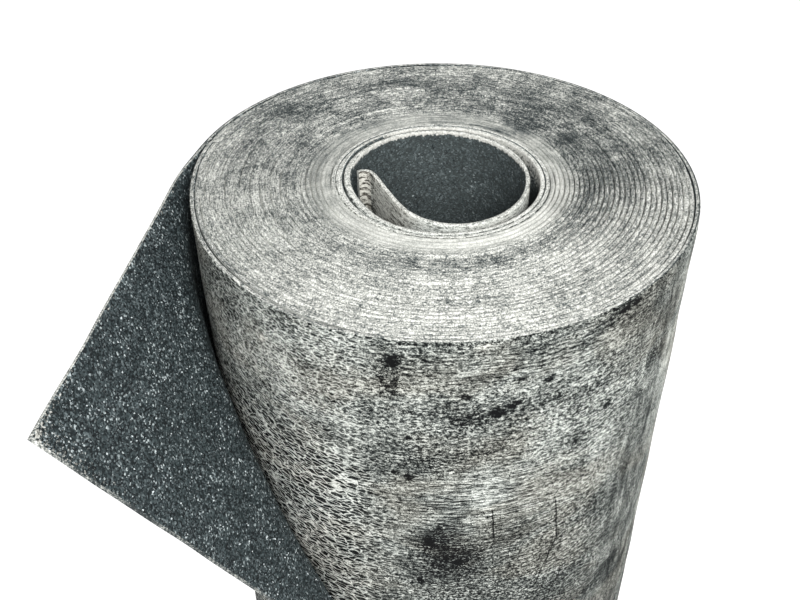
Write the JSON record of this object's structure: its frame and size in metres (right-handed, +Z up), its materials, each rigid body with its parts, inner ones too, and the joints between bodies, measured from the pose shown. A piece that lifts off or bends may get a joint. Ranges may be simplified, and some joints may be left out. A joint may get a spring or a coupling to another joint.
{
  "type": "roll of roofing felt",
  "caption": "Roll of gritted bituminous roofing felt standing on its end, wound round an open bore, with the top corner of its free end sprung off the roll.",
  "frame": {"origin": "on the roll's axis at its bottom end, which stands on the floor", "axes": "+Z up along the bore, -Y towards the viewer, so the loose corner points to -X and -Y"},
  "size_m": [0.2349, 0.2631, 1],
  "materials": {
    "felt": "bitumen felt with a chalky dusted face outwards and a dark gritted face inwards"
  },
  "bodies": {
    "root": {"felt_roll": "felt"}
  },
  "joints": []
}
